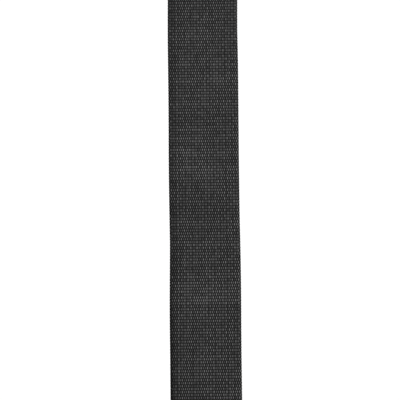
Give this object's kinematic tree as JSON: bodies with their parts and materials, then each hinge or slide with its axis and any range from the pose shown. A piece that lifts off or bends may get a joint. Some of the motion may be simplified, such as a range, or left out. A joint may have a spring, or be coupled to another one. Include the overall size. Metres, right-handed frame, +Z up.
{
  "type": "guitar strap",
  "caption": "Black woven webbing guitar strap, hanging at its shortest setting, with sewn leather ends, a sliding length adjuster and a rectangular ring.",
  "frame": {"origin": "centre of the rear button hole, on the hole's axis, in the middle of the tab's thickness", "axes": "+Z up along the hanging strap towards its rear end, +X across its width, outer face towards -Y"},
  "size_m": [0.065, 0.0133, 0.964],
  "materials": {
    "webbing": "matt woven polypropylene, black",
    "leather": "semi-matt black grained leather",
    "thread": "black bonded polyester thread",
    "plastic": "satin moulded black acetal"
  },
  "bodies": {
    "rear_tab": {"rear_tab_front_leather": "leather", "rear_tab_back_leather": "leather", "rear_tab_edge_stitching": "thread", "rear_tab_box_stitching": "thread", "webbing_rear_end": "webbing"},
    "front_run": {"webbing_rear_bend": "webbing", "webbing_fixed_run": "webbing", "webbing_feed_run": "webbing"},
    "ring_turn": {"webbing_ring_turn": "webbing", "webbing_return_run": "webbing"},
    "slider": {"slider_frame": "plastic", "webbing_slider_loop": "webbing", "slider_loop_stitching": "thread"},
    "ring": {"ring": "plastic"},
    "front_tab": {"ring_loop_webbing": "webbing", "ring_loop_stitching": "thread", "front_tab_front_leather": "leather", "front_tab_back_leather": "leather", "front_tab_edge_stitching": "thread", "front_tab_box_stitching": "thread"}
  },
  "joints": [
    {"name": "rear_tab_bend", "type": "hinge", "parent": "rear_tab", "child": "front_run", "pos_m": [0, 0, -0.1], "axis": [1, 0, 0], "range_deg": [-60, 60], "deforming": ["webbing_rear_bend"]},
    {"name": "strap_length", "type": "slide", "parent": "front_run", "child": "ring_turn", "axis": [0, 0, -1], "range_m": [0, 0.54], "deforming": ["webbing_feed_run"]},
    {"name": "slider_travel", "type": "slide", "parent": "ring_turn", "child": "slider", "axis": [0, 0, -1], "range_m": [0, 0.54], "deforming": ["webbing_return_run"]},
    {"name": "ring_swing", "type": "hinge", "parent": "ring_turn", "child": "ring", "pos_m": [0, 0.00385, -0.783], "axis": [1, 0, 0], "range_deg": [-90, 90]},
    {"name": "front_tab_swing", "type": "hinge", "parent": "ring", "child": "front_tab", "pos_m": [0, 0.00385, -0.808], "axis": [1, 0, 0], "range_deg": [-80, 80]}
  ],
  "couplings": [
    {"joint": "slider_travel", "follows": "strap_length", "ratio": 1}
  ]
}
